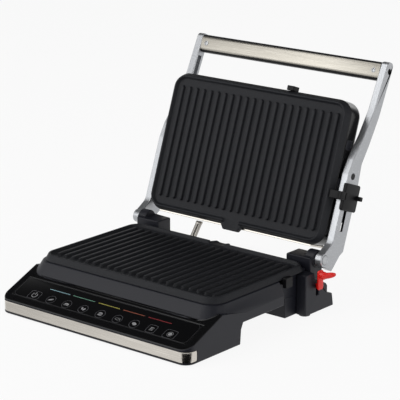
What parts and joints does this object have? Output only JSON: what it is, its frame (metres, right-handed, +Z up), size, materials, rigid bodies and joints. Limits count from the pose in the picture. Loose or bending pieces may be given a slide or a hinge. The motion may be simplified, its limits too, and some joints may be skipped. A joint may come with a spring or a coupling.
{
  "type": "contact grill",
  "caption": "Open contact grill with ribbed non-stick plates, a floating lid on cast arms with a bar handle, a sloped touch panel and a drip tray at the rear.",
  "frame": {"origin": "middle of the base's footprint, on the table that the rubber feet stand on", "axes": "+X to the grill's right as the cook sees it, +Y from the panel to the hinge, +Z up"},
  "size_m": [0.3484, 0.423, 0.3095],
  "materials": {
    "housing_plastic": "satin black moulding",
    "panel_glass": "glossy black glass",
    "plate_coating": "matte non-stick coating on cast metal",
    "brushed_trim": "brushed",
    "inner_steel": "plain sheet and tube",
    "board_laminate": "matte laminate",
    "foot_rubber": "matte",
    "arm_casting": "silver paint on a casting",
    "handle_core_plastic": "matte black",
    "handle_shell_plastic": "satin grey",
    "lever_plastic": "glossy red",
    "steel_pins": "turned"
  },
  "bodies": {
    "base": {"base_housing": "housing_plastic", "base_bottom_cover": "housing_plastic", "base_cover_screws": "steel_pins", "rubber_feet": "foot_rubber", "front_trim_strip": "brushed_trim", "control_panel_glass": "panel_glass", "touch_board": "board_laminate", "power_board": "board_laminate", "lower_plate": "plate_coating", "lower_heating_element": "inner_steel", "lower_reflector_pan": "inner_steel", "lower_temperature_sensor": "inner_steel", "rear_housing": "housing_plastic", "tower_screws": "steel_pins", "hinge_tower_left": "housing_plastic", "hinge_tower_right": "housing_plastic", "hinge_pins": "steel_pins", "cord_gland": "foot_rubber", "conduit_ferrule": "steel_pins", "cable_conduit": "inner_steel"},
    "drip_tray": {"drip_tray": "housing_plastic"},
    "release_lever": {"release_lever": "lever_plastic"},
    "arms": {"arm_left": "arm_casting", "arm_right": "arm_casting", "hinge_bushes": "steel_pins", "handle_face_plate": "brushed_trim", "handle_core": "handle_core_plastic", "handle_rear_shell": "handle_shell_plastic", "handle_face_screws": "steel_pins", "handle_end_screws": "steel_pins", "lid_pivot_pins": "steel_pins"},
    "height_slider": {"height_slider": "housing_plastic"},
    "lid": {"lid_housing": "housing_plastic", "lid_cover": "brushed_trim", "upper_plate": "plate_coating", "upper_heating_element": "inner_steel", "upper_reflector_pan": "inner_steel", "upper_temperature_sensor": "inner_steel", "conduit_grommet": "foot_rubber"},
    "upper_plate_clip": {"upper_plate_clip": "housing_plastic"},
    "lower_plate_clip": {"lower_plate_clip": "housing_plastic"}
  },
  "joints": [
    {"name": "lid_hinge", "type": "hinge", "parent": "base", "child": "arms", "pos_m": [0, 0.1233, 0.0704], "axis": [-1, 0, 0], "range_deg": [-109.54, 70.46], "deforming": ["cable_conduit"]},
    {"name": "lid_float", "type": "hinge", "parent": "arms", "child": "lid", "pos_m": [0, 0.18241, 0.17028], "axis": [1, 0, 0], "range_deg": [0, 5]},
    {"name": "height_slide", "type": "slide", "parent": "arms", "child": "height_slider", "axis": [0, 0.3345, 0.9424], "range_m": [-0.024, 0]},
    {"name": "lever_press", "type": "slide", "parent": "base", "child": "release_lever", "axis": [0, 0, -1], "range_m": [0, 0.009], "stiffness_N_per_m": 250, "springref_m": -0.003},
    {"name": "upper_clip_pull", "type": "slide", "parent": "lid", "child": "upper_plate_clip", "axis": [0, 0.3345, 0.9424], "range_m": [0, 0.003], "stiffness_N_per_m": 400, "springref_m": -0.003},
    {"name": "lower_clip_pull", "type": "slide", "parent": "base", "child": "lower_plate_clip", "axis": [1, 0, 0], "range_m": [0, 0.003], "stiffness_N_per_m": 400, "springref_m": -0.003},
    {"name": "drip_tray_slide", "type": "slide", "parent": "base", "child": "drip_tray", "axis": [0, -1, 0], "range_m": [-0.07, 0]}
  ]
}
